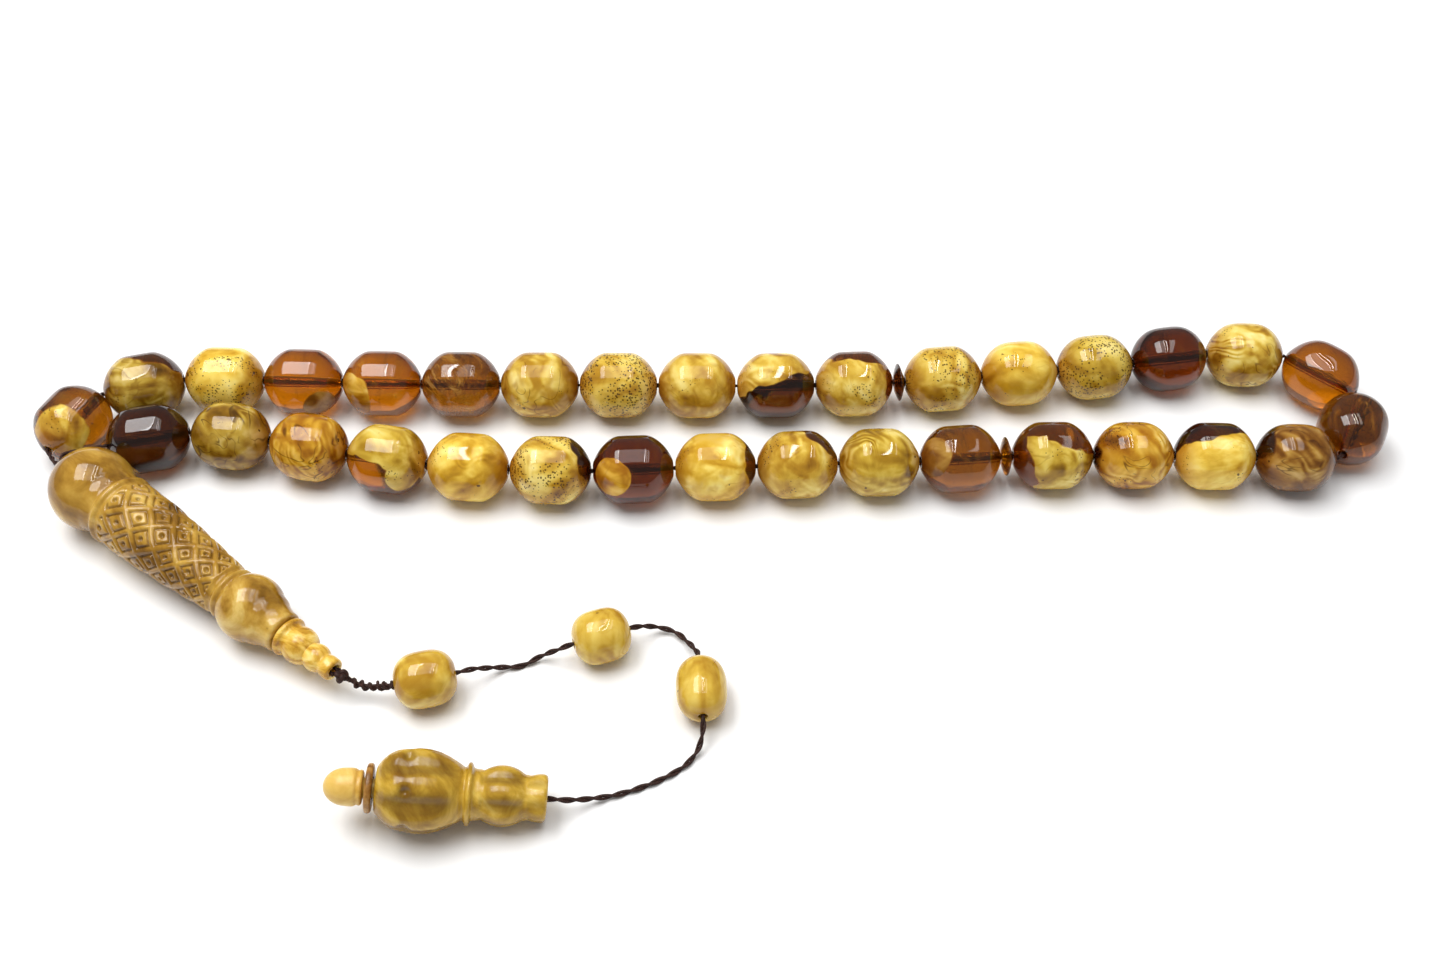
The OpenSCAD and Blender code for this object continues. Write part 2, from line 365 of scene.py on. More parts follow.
def opaque_resin(s, at, tone, turn, contrast, swirl, seed):
    """Streaks, clouds and bent layers of one tone of opaque resin."""
    streaks = s.noise(s.stretched(at, (0.09, 0.26, 0.26), turn), 1.0, 2, 1.1, 0.45, seed + 3)
    clouds = s.noise(at, 0.22, 5, 0.8, 0.55, seed + 7)
    bent = s.node("ShaderNodeTexNoise", {"Vector": at, "W": seed + 41.0, "Scale": 0.2, "Detail": 1.0},
                  noise_dimensions="4D").outputs["Color"]
    bent = s.node("ShaderNodeVectorMath", {0: bent, 1: (8.0, 8.0, 8.0), 2: at}, operation="MULTIPLY_ADD")
    field = s.noise(s.stretched(bent.outputs[0], (0.07, 0.11, 0.11), turn), 1.0, 1, 0.8, seed=seed + 43)
    layers = s.math("SINE", s.math("MULTIPLY", field, 2 * math.pi * LAYERS))
    here = s.step(s.noise(at, 0.2, 1, seed=seed + 47), 0.36, 0.6)
    shade = s.math("MULTIPLY_ADD", clouds, 0.4, s.math("MULTIPLY", streaks, 0.6))
    shade = s.math("MULTIPLY_ADD", s.math("SUBTRACT", shade, 0.5), contrast, 0.5)
    shade = s.math("MULTIPLY_ADD", s.math("MULTIPLY", layers, here), 0.035 * swirl, shade)
    return s.ramp(shade, list(zip((0.3, 0.43, 0.5, 0.57, 0.68), OPAQUE[tone])))


def veined(s, at, colour, dark, turn, amount, seed):
    """Thin dark lines that wander through the resin and fade in and out."""
    field = s.noise(s.stretched(at, (0.1, 0.2, 0.2), turn), 1.0, 1, 2.2, 0.4, seed + 11)
    line = s.math("ABSOLUTE", s.math("SUBTRACT", field, 0.5))
    here = s.step(s.noise(at, 0.35, 1, seed=seed + 13), 0.42, 0.58)
    vein = s.math("MULTIPLY", s.math("SUBTRACT", 1.0, s.step(line, 0.0, 0.03)), here)
    return s.mix(s.math("MULTIPLY", vein, 0.8 * amount), colour, dark)


def stained(s, at, colour, dark, amount, seed):
    """Patches of browner resin with soft edges."""
    patch = s.step(s.noise(at, 0.2, 2, 1.0, seed=seed + 37), 0.58 - 0.12 * amount, 0.74 - 0.12 * amount)
    return s.mix(s.math("MULTIPLY", patch, 0.75 * min(1, 2 * amount)), colour, dark)


def speckles(s, at, speckle, seed):
    """1 in small black specks, which gather in patches, and in a few larger spots."""
    fine = s.node("ShaderNodeTexVoronoi", {"Vector": at, "Scale": 2.3}).outputs["Distance"]
    coarse = s.node("ShaderNodeTexVoronoi", {"Vector": at, "Scale": 0.5}).outputs["Distance"]
    patch = s.step(s.noise(at, 0.26, 1, seed=seed + 17), 0.64 - 0.38 * speckle, 0.76 - 0.26 * speckle)
    rare = s.step(s.noise(at, 0.9, 1, seed=seed + 19), 0.52, 0.78)
    dots = s.math("LESS_THAN", fine, s.math("MULTIPLY", patch, 0.22 + 0.14 * speckle))
    spots = s.math("LESS_THAN", coarse, s.math("MULTIPLY", rare, 0.2 + 0.14 * speckle))
    return s.math("MAXIMUM", dots, spots)


def clear_part(s, at, planes, blobs, wisps, turn, seed):
    """1 where the resin is clear. planes are (right, up, near, offset) whose far side is clear;
    blobs are (right, up, near, radius) balls of opaque resin in what the planes made clear."""
    wobble = s.math("MULTIPLY_ADD", s.noise(at, 0.22, 1, 0.8, seed=seed), 3.2, -1.6)
    clear = None
    for right, up, near, offset in planes:
        reach = s.math("SUBTRACT", s.math("ADD", s.dot(at, (right, up, near)), wobble), offset)
        side = s.step(reach, -0.16, 0.16)
        clear = side if clear is None else s.math("MAXIMUM", clear, side)
    for right, up, near, radius in blobs:
        gap = s.node("ShaderNodeVectorMath", {0: at, 1: (right, up, near)}, operation="DISTANCE")
        gap = s.math("ADD", gap.outputs["Value"], s.math("MULTIPLY", wobble, 0.35))
        clear = s.math("MULTIPLY", clear, s.step(gap, radius - 0.12, radius + 0.12))
    haze = s.noise(s.stretched(at, (0.12, 0.4, 0.4), turn + 30), 1.0, 4, 2.5, 0.6, seed + 23)
    haze = s.step(haze, 0.56 - 0.16 * wisps, 0.82 - 0.16 * wisps)
    haze = s.math("MULTIPLY", haze, min(0.8, 1.4 * wisps))
    return s.math("MULTIPLY", clear, s.math("SUBTRACT", 1.0, haze))


def amber(name, axis, tone="yellow", clear="brown", planes=(), blobs=(), wisps=0.1, speckle=0.3,
          veins=0.35, stain=0.3, turn=20, contrast=1.0, swirl=0.5, seed=0):
    """Polished mixed resin of a piece whose bore runs along axis."""
    s = Shader(name)
    at = face_coordinates(s)
    darkest, darker = OPAQUE[tone][:2]
    colour = opaque_resin(s, at, tone, turn, contrast, swirl, seed)
    colour = stained(s, at, colour, darker, stain, seed)
    colour = veined(s, at, colour, darker if veins < 0.8 else darkest, turn, veins, seed)
    if planes:
        clear_share = clear_part(s, at, planes, blobs, wisps, turn, seed)
        colour = s.mix(clear_share, colour, CLEAR[clear])
        s.set(Transmission_Weight=s.math("MULTIPLY", clear_share, 0.92))
    # painted shade: the resin is darkened towards both ends of the bore, in place of the darker look that
    # light gives a bead's ends
    end_shade = s.step(s.math("ABSOLUTE", s.dot(at, face_direction(axis))), 2.8, 6.2)
    end_shaded = s.mix(1.0, colour, END_SHADE_TINT, "MULTIPLY")
    colour = s.mix(s.math("MULTIPLY", end_shade, 0.8), colour, end_shaded)
    colour = s.mix(s.math("MULTIPLY", speckles(s, at, speckle, seed), 0.85), colour, FLECK)
    smudge = s.noise(at, 0.8, 3, seed=seed + 31)
    bump = s.node("ShaderNodeBump", {"Height": smudge, "Strength": 0.1, "Distance": RIPPLE})
    s.set(Base_Color=colour, Roughness=s.math("MULTIPLY_ADD", smudge, 0.06, 0.01), IOR=RESIN_IOR,
          Specular_IOR_Level=0.38, Normal=bump.outputs[0], Subsurface_Weight=0.08,
          Subsurface_Radius=(0.9, 0.7, 0.3), Subsurface_Scale=SKIN)
    return s.material


def carved_resin(name, colours, seed, roughness, scale, spots=0.3, inside=None):
    """Marbled opaque resin. inside names the attribute with the depth of the cuts, which are darkened by
    that depth as painted shade.
    """
    s = Shader(name)
    at = face_coordinates(s)
    cloud = s.noise(s.stretched(at, (0.6, 1.0, 1.0), 35), scale, 5, 1.4, 0.6, seed)
    colour = s.ramp(cloud, list(zip((0.32, 0.44, 0.5, 0.57, 0.66), colours)))
    fleck = s.node("ShaderNodeTexVoronoi", {"Vector": at, "Scale": 0.5})
    patch = s.step(s.noise(at, 0.7, 1, seed=seed + 5), 0.5, 0.8)
    dot = s.math("LESS_THAN", fleck.outputs["Distance"], s.math("MULTIPLY", patch, 0.22))
    colour = s.mix(s.math("MULTIPLY", dot, spots), colour, SPOT)
    if inside:
        depth = s.node("ShaderNodeAttribute", attribute_name=inside).outputs["Fac"]
        # painted shade: the cuts are darkened by their depth
        colour = s.mix(s.math("MULTIPLY", depth, 0.5), colour, CUT_SHADE)
    grain = s.noise(at, 2.2, 3, seed=seed + 9)
    bump = s.node("ShaderNodeBump", {"Height": grain, "Strength": 0.2, "Distance": RIPPLE})
    roughness = s.math("MULTIPLY_ADD", grain, 0.16, roughness - 0.08)
    s.set(Base_Color=colour, Roughness=roughness, IOR=RESIN_IOR,
          Specular_IOR_Level=0.4, Normal=bump.outputs[0], Subsurface_Weight=0.12,
          Subsurface_Radius=(1.0, 0.6, 0.25), Subsurface_Scale=SKIN)
    return s.material


def thread_material():
    s = Shader("waxed_thread")
    at = face_coordinates(s)
    fibre = s.noise(s.stretched(at, (2.0, 9.0, 9.0), 15), 1.0, 3, 0.5, 0.6, 5)
    colour = s.ramp(fibre, [(0.3, (20, 9, 6)), (0.52, (48, 26, 20)), (0.72, (90, 58, 48))])
    bump = s.node("ShaderNodeBump", {"Height": fibre, "Strength": 0.6, "Distance": 2 * RIPPLE})
    s.set(Base_Color=colour, Roughness=0.6, Normal=bump.outputs[0], Specular_IOR_Level=0.25)
    return s.material


# ---- cords --------------------------------------------------------------------------------

# All in mm. A pitch is the cord's length to one turn of its plies.
LOOP_CORD_D, LOOP_PITCH = 0.65, 3.2
TAIL_CORD_D, TAIL_PITCH = 0.7, 5.0
STRAND_OFFSET = 0.42  # of each strand from the imame's axis
PLY = 0.29  # radius of a ply, and of the helix it follows, to the cord's diameter
CORE = 0.42  # radius of the cord's core in the hitches, to its diameter
HITCHED = (0.5, 8.6)  # where the tail cord, next to the tip, is worked into small hitches
HITCH_REACH, HITCH_PITCH = 0.36, 1.15


def tube(path, radius, sides, start=0):
    """Points and faces of a closed tube along a path, in mm; faces count from start."""
    path = np.asarray(path, float)
    ahead = np.gradient(path, axis=0)
    ahead /= np.linalg.norm(ahead, axis=1)[:, None]
    side = np.cross(ahead[0], (0, 0, 1))
    side /= np.linalg.norm(side)
    rows = []
    angle = np.linspace(0, 2 * math.pi, sides, endpoint=False)
    for here, t in zip(path, ahead):
        side = side - t * (side @ t)
        side /= np.linalg.norm(side)
        up = np.cross(t, side)
        rows.append(here + radius * (np.cos(angle)[:, None] * side + np.sin(angle)[:, None] * up))
    faces = [tuple(start + v for v in face) for face in ring_faces(len(path), sides)]
    last = start + (len(path) - 1) * sides
    faces.append(tuple(start + k for k in reversed(range(sides))))
    faces.append(tuple(last + k for k in range(sides)))
    return np.vstack(rows), faces


def frames_along(path):
    """Side and up vectors carried along a path without twist."""
    ahead = np.gradient(path, axis=0)
    ahead /= np.linalg.norm(ahead, axis=1)[:, None]
    side = np.cross(ahead[0], (0, 0, 1))
    sides, ups = [], []
    for t in ahead:
        side = side - t * (side @ t)
        side /= np.linalg.norm(side)
        sides.append(side)
        ups.append(np.cross(t, side))
    return np.array(sides), np.array(ups)


def twisted_cord(name, route, diameter, pitch, step, material, sides, kinks=None):
    """Two plies wound round each other along a smooth curve through the route, in mm.
    kinks(along) is how far, and which way round, the plies are pulled off the curve into small
    hitches about a core."""
    path = spline(route, step)
    along = np.concatenate([[0], np.cumsum(np.linalg.norm(np.diff(path, axis=0), axis=1))])
    side, up = frames_along(path)

    def off_path(reach, angle):
        return (reach * np.cos(angle))[:, None] * side + (reach * np.sin(angle))[:, None] * up

    centre, points, faces = path, [], []
    if kinks is not None:
        centre = path + off_path(*kinks(along))
        core = path[(along > HITCHED[0]) & (along < HITCHED[1])]
        made, faces = tube(core, CORE * diameter, sides)
        points.append(made)
    for ply in (0, math.pi):
        line = centre + off_path(PLY * diameter, 2 * math.pi * along / pitch + ply)
        made, joined = tube(line, PLY * diameter, sides, start=sum(len(p) for p in points))
        points.append(made)
        faces = faces + joined
    piece = add_mesh(name, np.vstack(points) * MM, faces, material)
    return piece, path * MM


def place_of(child, station):
    """Centre in mm and direction of the turned piece that a joint's point lies on at that station."""
    joint = JOINTS[child]
    direction = np.array(joint["axis"], float)
    return np.array(joint["pos_m"], float) / MM - station * direction, direction


def on_axis(place, station, side=0.0):
    centre, direction = place
    return centre + station * direction + side * axes_of(direction)[1]


def bore_ends(child, length):
    place = place_of(child, 0)
    return [on_axis(place, -length / 2), on_axis(place, length / 2)]


BEAD_L = 11.8
DISC_T = 1.5
RUN = 11  # beads between two discs
BEADS = [f"bead_{k:02d}" for k in range(1, 3 * RUN + 1)]
STRING = BEADS[:RUN] + ["disc_1"] + BEADS[RUN:2 * RUN] + ["disc_2"] + BEADS[2 * RUN:]
# Diameter and length of each tail bead.
TAIL_BEADS = {
    "tail_bead_1": (7.7, 8.2),
    "tail_bead_2": (7.4, 7.8),
    "tail_bead_3": (6.8, 8.8),
}
# The carved pieces' places, and stations in mm along them.
IMAME = place_of("imame_tip", 44)
PENDANT = place_of("pendant_washer", -5.55)
HEAD_MOUTH = -6
IMAME_MIDDLE = 20
TIP_KNOT_AT = 49.85
STRANDS_END = TIP_KNOT_AT - 0.8
PENDANT_KNOT_AT = 1.5
BELL_END = 16.4

# The cords' routes between the pieces, as in part.scad.
LEAD_OUT = [(-95.3, 12.5, 6), (-96.4, 13.8, 5.6), (-97.3, 15.1, 5.2)]
LEAD_BACK = [(-91.5, 16.2, 5.2), (-93.5, 15.3, 5.6), (-94.4, 14.8, 5.9),
             (-94.8, 14, 6.1), (-94.7, 13.1, 6.3)]
TAIL_FROM_TIP = [(-47.7, -21.8, 3.3), (-46.5, -22.1, 2.6), (-45, -22.3, 2.5), (-43.4, -22.5, 3)]
TAIL_1_TO_2 = [(-32, -20, 3.4), (-30, -18.7, 1.9), (-28, -17.8, 0.8), (-25.5, -17.2, 0.4),
               (-23, -16, 1), (-20.5, -16, 2.7)]
TAIL_2_TO_3 = [(-9.5, -12.1, 2.8), (-7.5, -11.1, 1.3), (-5, -11.5, 0.8),
               (-3, -13.7, 1.4), (-1.8, -16, 2.6)]
TAIL_TO_PENDANT = [(-0.8, -28.3, 2.6), (-1.4, -30.2, 1), (-3, -32.2, 0.4), (-5.5, -34, 0.4),
                   (-8.5, -35.5, 0.4), (-12, -36.8, 0.5), (-15, -37.8, 1.3), (-17.5, -38.7, 2.5)]


def loop_route():
    out = [on_axis(IMAME, s, -STRAND_OFFSET) for s in (STRANDS_END, IMAME_MIDDLE, HEAD_MOUTH)]
    back = [on_axis(IMAME, s, STRAND_OFFSET) for s in (HEAD_MOUTH, IMAME_MIDDLE, STRANDS_END)]
    string = []
    for name in STRING:
        string += bore_ends(name, DISC_T if name.startswith("disc") else BEAD_L)
    return [*out, *LEAD_OUT, *string, *LEAD_BACK, *back]


def tail_route():
    first, second, third = (bore_ends(name, size[1]) for name, size in TAIL_BEADS.items())
    inside_pendant = [on_axis(PENDANT, BELL_END), on_axis(PENDANT, PENDANT_KNOT_AT)]
    return [on_axis(IMAME, TIP_KNOT_AT), *TAIL_FROM_TIP, *first, *TAIL_1_TO_2, *second,
            *TAIL_2_TO_3, *third, *TAIL_TO_PENDANT, *inside_pendant]


def hitches(along):
    """Reach and angle of the tight helix that the hitches next to the tip give the cord."""
    share = np.clip((along - 1.2) / 0.6, 0, 1) * np.clip((HITCHED[1] - along) / 0.6, 0, 1)
    return HITCH_REACH * share, 2 * math.pi * along / HITCH_PITCH


KNOT_D = 2.0


def knot(name, centre, material):
    """A trefoil of thread pulled tight, centred in mm."""
    t = np.linspace(0, 2 * math.pi, 97)
    curve = np.stack([np.sin(t) + 2 * np.sin(2 * t),
                      np.cos(t) - 2 * np.cos(2 * t),
                      -1.6 * np.sin(3 * t)], axis=1)
    curve = np.asarray(centre) + curve * KNOT_D * 0.5 * 0.66 / 3
    points, faces = tube(curve, KNOT_D * 0.19, 10)
    return add_mesh(name, points * MM, faces, material, np.asarray(centre) * MM)


def make_cords(thread):
    loop, loop_path = twisted_cord("loop_thread", loop_route(), LOOP_CORD_D, LOOP_PITCH,
                                   step=0.3, material=thread, sides=7)
    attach(loop, "root")
    tail, tail_path = twisted_cord("tail_thread", tail_route(), TAIL_CORD_D, TAIL_PITCH,
                                   step=0.14, material=thread, sides=10, kinks=hitches)
    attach(tail, "root")
    tip_knot = knot("tip_thread_knot", on_axis(IMAME, TIP_KNOT_AT), thread)
    end_knot = knot("pendant_thread_knot", on_axis(PENDANT, PENDANT_KNOT_AT), thread)
    pieces = {"loop_cord": loop, "tail_cord": tail, "tip_knot": tip_knot, "pendant_knot": end_knot}
    for node, piece in pieces.items():
        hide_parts(node)
    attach(tip_knot, "root")
    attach(end_knot, "root")


# ---- prayer beads -------------------------------------------------------------------------

# Half of a bead's outline as (station, radius): a nearly straight band, an edge and a curved shoulder.
BEAD_HALF = [(0, 5), (1.2, 4.995), (2, 4.985), (2.35, 4.94), (2.65, 4.85), (3, 4.68), (3.5, 4.36),
             (4, 3.97), (4.4, 3.6), (4.8, 3.15), (5.15, 2.65), (5.5, 2.05), (5.75, 1.55), (5.9, 1.15)]
BEAD_R = 5
BEAD_BORE = 0.55
ALL_CLEAR = (0, 0, 1, -9)  # a plane in front of which the whole bead lies

# Each bead as it lies, from the imame out along the far row and back along the near row.
# planes and blobs are as clear_part takes them; turn is the streaks' angle in degrees.
LOOKS = [
    dict(tone="yellow", clear="brown", planes=[ALL_CLEAR], blobs=[(-0.2, -0.9, 2.6, 3.9)],
         turn=70, wisps=0.25, stain=0.5),
    dict(tone="olive", clear="amber", planes=[(0.2, 1, 0, 3.7)],
         veins=0.7, turn=12, contrast=1.1, swirl=1.8),
    dict(tone="bright", speckle=0.7, turn=-20, stain=0.4),
    dict(clear="amber", planes=[ALL_CLEAR], blobs=[(2.8, -3.3, 2.2, 2.5)], tone="tan", wisps=0.15),
    dict(clear="amber", planes=[ALL_CLEAR], blobs=[(-3.7, -1.8, 2.8, 3.3)], tone="orange", wisps=0.3),
    dict(clear="brown", planes=[ALL_CLEAR], tone="tan", wisps=0.9),
    dict(tone="yellow", turn=75, veins=0.9, stain=0.7, contrast=1.0, swirl=1.4),
    dict(tone="yellow", speckle=1.0, turn=10, contrast=0.9),
    dict(tone="yellow", speckle=0.3, veins=0.6, stain=0.6, turn=60),
    dict(tone="yellow", clear="dark", planes=[(0.33, -0.94, 0, -0.24)], speckle=0.2, turn=8, swirl=1.5),
    dict(tone="yellow", clear="amber", planes=[(0.1, 1, 0, 2.9), (1, 0.1, 0, 4.6)],
         speckle=0.5, wisps=0.4, turn=40, swirl=1.0),
    dict(tone="yellow", speckle=0.75, turn=80, contrast=0.9, swirl=1.5),
    dict(tone="bright", speckle=0.35, turn=-10, contrast=0.8),
    dict(tone="green", speckle=0.9, turn=30, contrast=0.9),
    dict(clear="red", planes=[ALL_CLEAR], tone="tan", wisps=0.25, turn=10),
    dict(tone="yellow", veins=1.0, stain=0.5, turn=25, contrast=1.2, swirl=2.2),
    dict(clear="amber", planes=[ALL_CLEAR], blobs=[(4.8, 0.6, 1, 2.3)], tone="olive", wisps=0.1),
    dict(clear="brown", planes=[ALL_CLEAR], blobs=[(5, 1.6, 0, 2.6)],
         tone="tan", wisps=0.45, turn=60),
    dict(tone="tan", clear="brown", planes=[(-0.9, 0.4, 0, 4.6)], veins=0.9, turn=40, swirl=2.2),
    dict(tone="bright", clear="dark", planes=[(-0.2, 1, -0.3, 1.9)], turn=5, contrast=0.9, wisps=0.0),
    dict(tone="orange", clear="red", planes=[(-0.9, 0.1, 0, 5.0)],
         veins=1.0, turn=55, contrast=1.1, swirl=2.2),
    dict(tone="green", clear="amber", planes=[(0.25, 0.95, 0, 1.9), (-1, -0.3, 0, 3.8)],
         veins=0.7, turn=50, swirl=1.8),
    dict(clear="brown", planes=[ALL_CLEAR], blobs=[(-3.6, 0.2, 2.6, 2.9)], tone="tan", wisps=0.4),
    dict(tone="green", veins=0.5, turn=35, speckle=0.05, swirl=1.8),
    dict(tone="yellow", clear="amber", planes=[(0.5, 0.85, 0, 3.8)], speckle=0.4, turn=70, stain=0.5),
    dict(tone="bright", clear="amber", planes=[(1, 0.1, 0, 4.9)],
         veins=0.7, turn=20, stain=0.8, speckle=0.2),
    dict(clear="red", planes=[ALL_CLEAR], blobs=[(-3.0, -1.2, 4.0, 3.0)], tone="orange", wisps=0.15),
    dict(tone="yellow", clear="brown", planes=[(1, 0.35, 0, 4.9)],
         speckle=0.9, turn=15, stain=0.5),
    dict(tone="bright", turn=-15, speckle=0.2, swirl=0.7),
    dict(tone="green", clear="amber", planes=[(-0.35, -0.94, 0, 0.9)],
         blobs=[(2.8, -2.2, 3, 2.6)], turn=25),
    dict(tone="orange", veins=1.0, stain=0.4, turn=65, contrast=0.9, speckle=0.35, swirl=1.6),
    dict(tone="olive", veins=1.0, turn=50, contrast=1.1, speckle=0.2, swirl=2.2),
    dict(clear="dark", planes=[ALL_CLEAR], blobs=[(-2.4, -4.2, 1.6, 2.0)], tone="orange"),
]
ROUNDED = {13, 14, 15, 16, 17, 18, 19, 21, 31, 32}  # beads turned with a rounder shoulder
BARREL, OVAL = 0.1, 0.75  # how far a bead's outline goes from BEAD_HALF to an oval
OVAL_HALF = 6.1


def bead_outline(roundness):
    half = spline(BEAD_HALF, 0.2)
    oval = BEAD_R * (1 - (half[:, 0] / OVAL_HALF) ** 2.9) ** 0.78
    half[:, 1] = (1 - roundness) * half[:, 1] + roundness * np.maximum(oval, 1.0)
    outer = [(-x, r) for x, r in half[::-1]] + [(x, r) for x, r in half[1:]]
    return turned_outline(outer, BEAD_BORE, step=0.2, passes=4)


def hand_turned(rng, amount):
    """A small unevenness, in mm, that differs from bead to bead and fades out at the bore."""
    phase = [rng.uniform(0, 2 * math.pi) for _ in range(4)]

    def relief(station, radius, angle):
        along = np.cos(0.5 * station + phase[2])
        swing = np.cos(2 * angle + phase[0]) + 0.6 * np.cos(3 * angle + phase[1]) * along
        return amount * swing * np.clip((radius - 0.8) / 2, 0, 1)
    return relief


def make_beads():
    rng = random.Random(33)
    for number, body in enumerate(BEADS, start=1):
        centre, direction = place_of(body, 0)
        material = amber(f"resin_{body}", direction, seed=10 * number, **LOOKS[number - 1])
        outline = bead_outline(OVAL if number in ROUNDED else BARREL)
        bead = lathe(f"{body}_polished", centre * MM, direction, outline, material,
                     relief=hand_turned(rng, 0.012))
        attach(bead, body)
        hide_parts(body)


def make_discs():
    half = [(0.06, 2.9), (0.2, 2.6), (0.4, 2.1), (0.58, 1.6), (0.7, 1.15), (0.75, 0.8)]
    outer = [(-x, r) for x, r in half[::-1]] + half
    for number in (1, 2):
        body = f"disc_{number}"
        centre, direction = place_of(body, 0)
        material = amber(f"resin_{body}", direction, clear="dark" if number == 1 else "brown",
                         planes=[ALL_CLEAR], tone="tan", wisps=0.2, seed=400 + number)
        outline = turned_outline(outer, BEAD_BORE, step=0.08, passes=2, inside=0.3)
        disc = lathe(f"{body}_polished", centre * MM, direction, outline, material)
        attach(disc, body)
        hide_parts(body)


TAIL_BORE = 0.6
TAIL_LOOKS = {
    "tail_bead_1": dict(tone="yellow", turn=-40, stain=0.6, veins=0.5, contrast=0.7, speckle=0.05),
    "tail_bead_2": dict(tone="yellow", turn=65, stain=0.2, veins=0.2, contrast=0.6, swirl=0.8,
                        speckle=0.05),
    "tail_bead_3": dict(tone="yellow", turn=85, stain=0.1, veins=0.2, contrast=0.6, speckle=0.0),
}


def make_tail_beads():
    rng = random.Random(3)
    for number, (body, (diameter, length)) in enumerate(TAIL_BEADS.items(), start=1):
        along = np.sin(np.radians(np.linspace(-90, 90, 61)))
        radii = diameter / 2 * (1 - np.abs(0.97 * along) ** 2.9) ** 0.46
        centre, direction = place_of(body, 0)
        material = amber(f"resin_{body}", direction, seed=500 + 10 * number, **TAIL_LOOKS[body])
        outer = list(zip(along * length / 2, radii))
        outline = turned_outline(outer, TAIL_BORE, step=0.15, passes=1)
        bead = lathe(f"{body}_polished", centre * MM, direction, outline, material,
                     relief=hand_turned(rng, 0.04))
        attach(bead, body)
        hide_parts(body)


# ---- imame --------------------------------------------------------------------------------

IMAME_RESIN = [(108, 72, 16), (152, 110, 32), (174, 132, 48), (194, 154, 66), (218, 186, 104)]
PALE_RESIN = [(150, 96, 16), (200, 150, 46), (222, 178, 70), (238, 202, 100), (250, 224, 140)]
IMAME_BORE = 0.95
# The carved body's radius along the imame.
IMAME_TAPER = [(6.5, 5.1), (12, 5.1), (20, 4.5), (27.6, 3.7)]
LATTICE_FROM, LATTICE_TO = 7.2, 27.6
AROUND = 7  # diamonds round the body
STEEPNESS = 0.93  # rows of diamonds to a length that holds one square row
LATTICE_PHASE = 0.38
# In mm: half width of a rib, depth of a groove, radius and depth of a dimple.
RIB, GROOVE = 0.36, 0.36
DIMPLE, DIMPLE_DEPTH = 0.42, 0.4
FULL_CUT = 0.35  # depth in mm at which a cut gets the full painted shade
IMAME_SIDES = 240


def lattice(station, radius, angle):
    """Carving of crossed ribs with a dimpled square in each diamond, which shrink as the body tapers."""
    grid = np.linspace(LATTICE_FROM, LATTICE_TO, 200)
    taper = np.interp(grid, *zip(*IMAME_TAPER))
    girth = 2 * math.pi * (taper[1:] + taper[:-1]) / 2
    rows = np.concatenate([[0], np.cumsum(np.diff(grid) * AROUND / girth)])
    row = LATTICE_PHASE + STEEPNESS * np.interp(station, grid, rows)
    row = row + 0.03 * np.sin(3 * angle + 0.9 * station)
    column = AROUND * angle / (2 * math.pi) + 0.03 * np.sin(2 * angle + 0.7 * station)
    pitch = 2 * math.pi * np.interp(station, *zip(*IMAME_TAPER)) / AROUND / math.sqrt(2)
    gaps = [np.abs((line + 0.5) % 1 - 0.5) * pitch for line in (column + row, column - row)]
    edge = np.minimum(*gaps)
    middle = np.hypot(pitch / 2 - gaps[0], pitch / 2 - gaps[1])
    groove = np.exp(-((edge - RIB - 0.16) / 0.13) ** 2)
    ridge = 0.08 * np.exp(-(edge / 0.16) ** 2)
    dimple = np.clip(1 - (middle / DIMPLE) ** 2, 0, 1)
    cut = -GROOVE * groove - DIMPLE_DEPTH * dimple + ridge
    fade = np.clip((station - LATTICE_FROM) / 0.25, 0, 1) * np.clip((LATTICE_TO - station) / 0.25, 0, 1)
    return cut * fade


def add_depth(piece, outline, sides, relief):
    """Stores how deep each vertex is cut, from 0 to 1, for the painted shade in the cuts."""
    station = np.repeat(outline[:, 0], sides)
    radius = np.repeat(outline[:, 1], sides)
    turn = np.tile(np.linspace(0, 2 * math.pi, sides, endpoint=False), len(outline))
    depth = np.clip(-relief(station, radius, turn) / FULL_CUT, 0, 1)
    stored = piece.data.attributes.new("cut", "FLOAT", "POINT")
    stored.data.foreach_set("value", depth.astype(np.float32))


def make_imame():
    top = [*arc(0, 6.1, 14, 122, 26), (4.3, 4.95), (4.9, 4.7), (5.3, 4.7),
           (5.5, 5.15), (5.8, 5.35), (6.2, 5.35), (6.45, 5.05), (6.7, 4.85), (6.9, 5.0)]
    body = [*IMAME_TAPER[1:-1], (27.6, 3.72), (27.9, 3.45), (28.2, 3.3), (28.5, 3.6), (28.8, 3.85),
            (29.1, 3.85), (29.4, 3.5), (29.7, 3.35)]
    bulb = [*arc(32.6, 4.75, 52, 122, 16), (36.2, 3.75), (37, 3.3), (37.8, 3.05), (38.5, 2.95),
            (38.9, 2.95), (39.15, 2.7)]
    socket = [(39.2, 1.9), (39.2, 1.8)]
    first = soften(resample([(-6.4, IMAME_BORE), (-6.0, 1.3), *top, (7.2, 5.08)], 0.16), 2)
    carved = resample([(7.2, 5.08), *body[:3]], 0.115)
    last = soften(resample([*body[2:], *bulb, *socket], 0.16), 2)
    bore = [(35.9, 1.8), (35.9, IMAME_BORE)]
    outline = np.vstack([[(-5.6, IMAME_BORE)], first, carved[1:-1], last, bore])
    material = carved_resin("imame_resin", IMAME_RESIN, seed=600, roughness=0.08, scale=0.13, inside="cut")
    centre, direction = IMAME
    imame = lathe("imame_carved", centre * MM, direction, outline, material, IMAME_SIDES, relief=lattice)
    add_depth(imame, outline, IMAME_SIDES, lattice)
    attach(imame, "root")
    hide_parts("imame")


SMALL_SIDES = 96  # round the tip, the washer and the plug
TIP_BORE = 0.85


